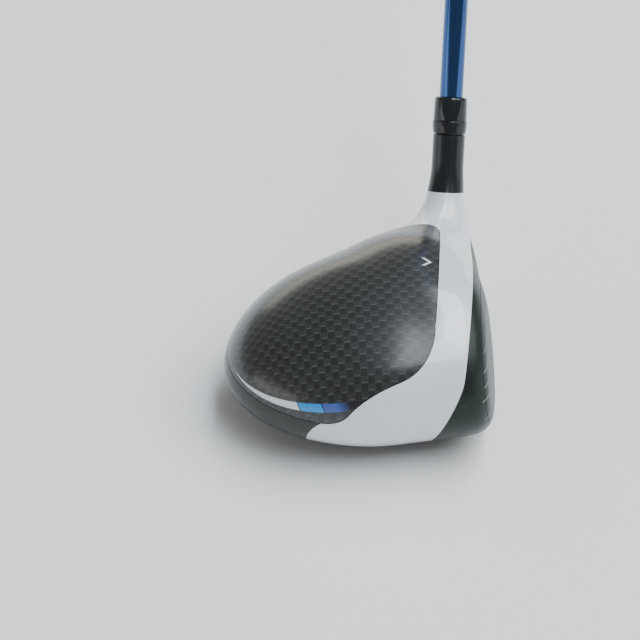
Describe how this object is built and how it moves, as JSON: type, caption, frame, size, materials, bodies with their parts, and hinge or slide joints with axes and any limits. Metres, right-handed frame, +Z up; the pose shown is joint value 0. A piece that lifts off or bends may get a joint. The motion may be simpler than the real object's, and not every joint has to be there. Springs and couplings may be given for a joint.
{
  "type": "golf driver",
  "caption": "Right-handed golf driver with a hollow large-volume head, a carbon crown, an adjustable loft sleeve and a graphite shaft with a rubber grip.",
  "frame": {"origin": "where the sole touches the ground with the club soled at address, under the middle of the head", "axes": "+X the direction of play, which the face looks along; +Y the heel side, towards the player, and the shaft leans up and back along it; -Y the toe; +Z up"},
  "size_m": [0.1117, 0.7296, 0.9793],
  "materials": {
    "paint_white": "gloss white lacquer on a cast head, dark on its face side and rear skirt",
    "hosel_black": "gloss black",
    "carbon": "clear-coated plain-weave carbon laminate",
    "carbon_matte": "satin carbon laminate",
    "face_titanium": "dark satin titanium with fine score lines",
    "titanium": "bare cast metal inside the head",
    "sleeve_black": "black anodised, glossy",
    "ferrule_black": "polished black plastic",
    "shaft_blue": "metallic blue lacquer over graphite",
    "grip_rubber": "matt black textured rubber",
    "cap_black": "smooth black rubber",
    "tape": "thin paper grip tape",
    "foam": "light plug",
    "steel": "satin steel",
    "retainer_rubber": "matt black",
    "slot_resin": "flexible blue resin"
  },
  "bodies": {
    "shaft_assembly": {"shaft": "shaft_blue", "shaft_tip_plug": "foam", "ferrule": "ferrule_black", "loft_sleeve": "sleeve_black", "grip_tape": "tape", "grip": "grip_rubber", "grip_end_cap": "cap_black"},
    "screw_washer": {"screw_washer": "steel"},
    "adapter_screw": {"adapter_screw": "steel", "screw_retainer": "retainer_rubber"},
    "head": {"body_frame": "paint_white", "hosel": "hosel_black", "bore_tube": "titanium", "face_plate": "face_titanium", "crown_panel": "carbon", "sole_toe_panel": "carbon_matte", "sole_heel_panel": "carbon_matte", "slot_insert": "slot_resin", "weight_cup": "titanium"},
    "rear_weight": {"rear_weight": "steel"},
    "weight_screw": {"weight_screw": "steel"}
  },
  "joints": [
    {"name": "head_release", "type": "slide", "parent": "shaft_assembly", "child": "screw_washer", "axis": [0, -0.5446, -0.8387], "range_m": [0, 0.012]},
    {"name": "screw_turn", "type": "hinge", "parent": "screw_washer", "child": "adapter_screw", "pos_m": [0.0233, 0.0353, 0], "axis": [0, -0.5446, -0.8387], "range_deg": [0, 5400]},
    {"name": "loft_setting", "type": "hinge", "parent": "screw_washer", "child": "head", "pos_m": [0.0233, 0.0353, 0], "axis": [0, 0.5446, 0.8387], "continuous": true},
    {"name": "weight_release", "type": "slide", "parent": "head", "child": "rear_weight", "axis": [-0.3408, 0.0365, -0.9394], "range_m": [0, 0.012]},
    {"name": "weight_screw_turn", "type": "hinge", "parent": "rear_weight", "child": "weight_screw", "pos_m": [-0.05, -0.004, 0.00642], "axis": [-0.3408, 0.0365, -0.9394], "range_deg": [0, 6180]}
  ],
  "couplings": [
    {"joint": "screw_turn", "follows": "head_release", "rad_per_m": 7854},
    {"joint": "weight_screw_turn", "follows": "weight_release", "rad_per_m": 8976}
  ]
}
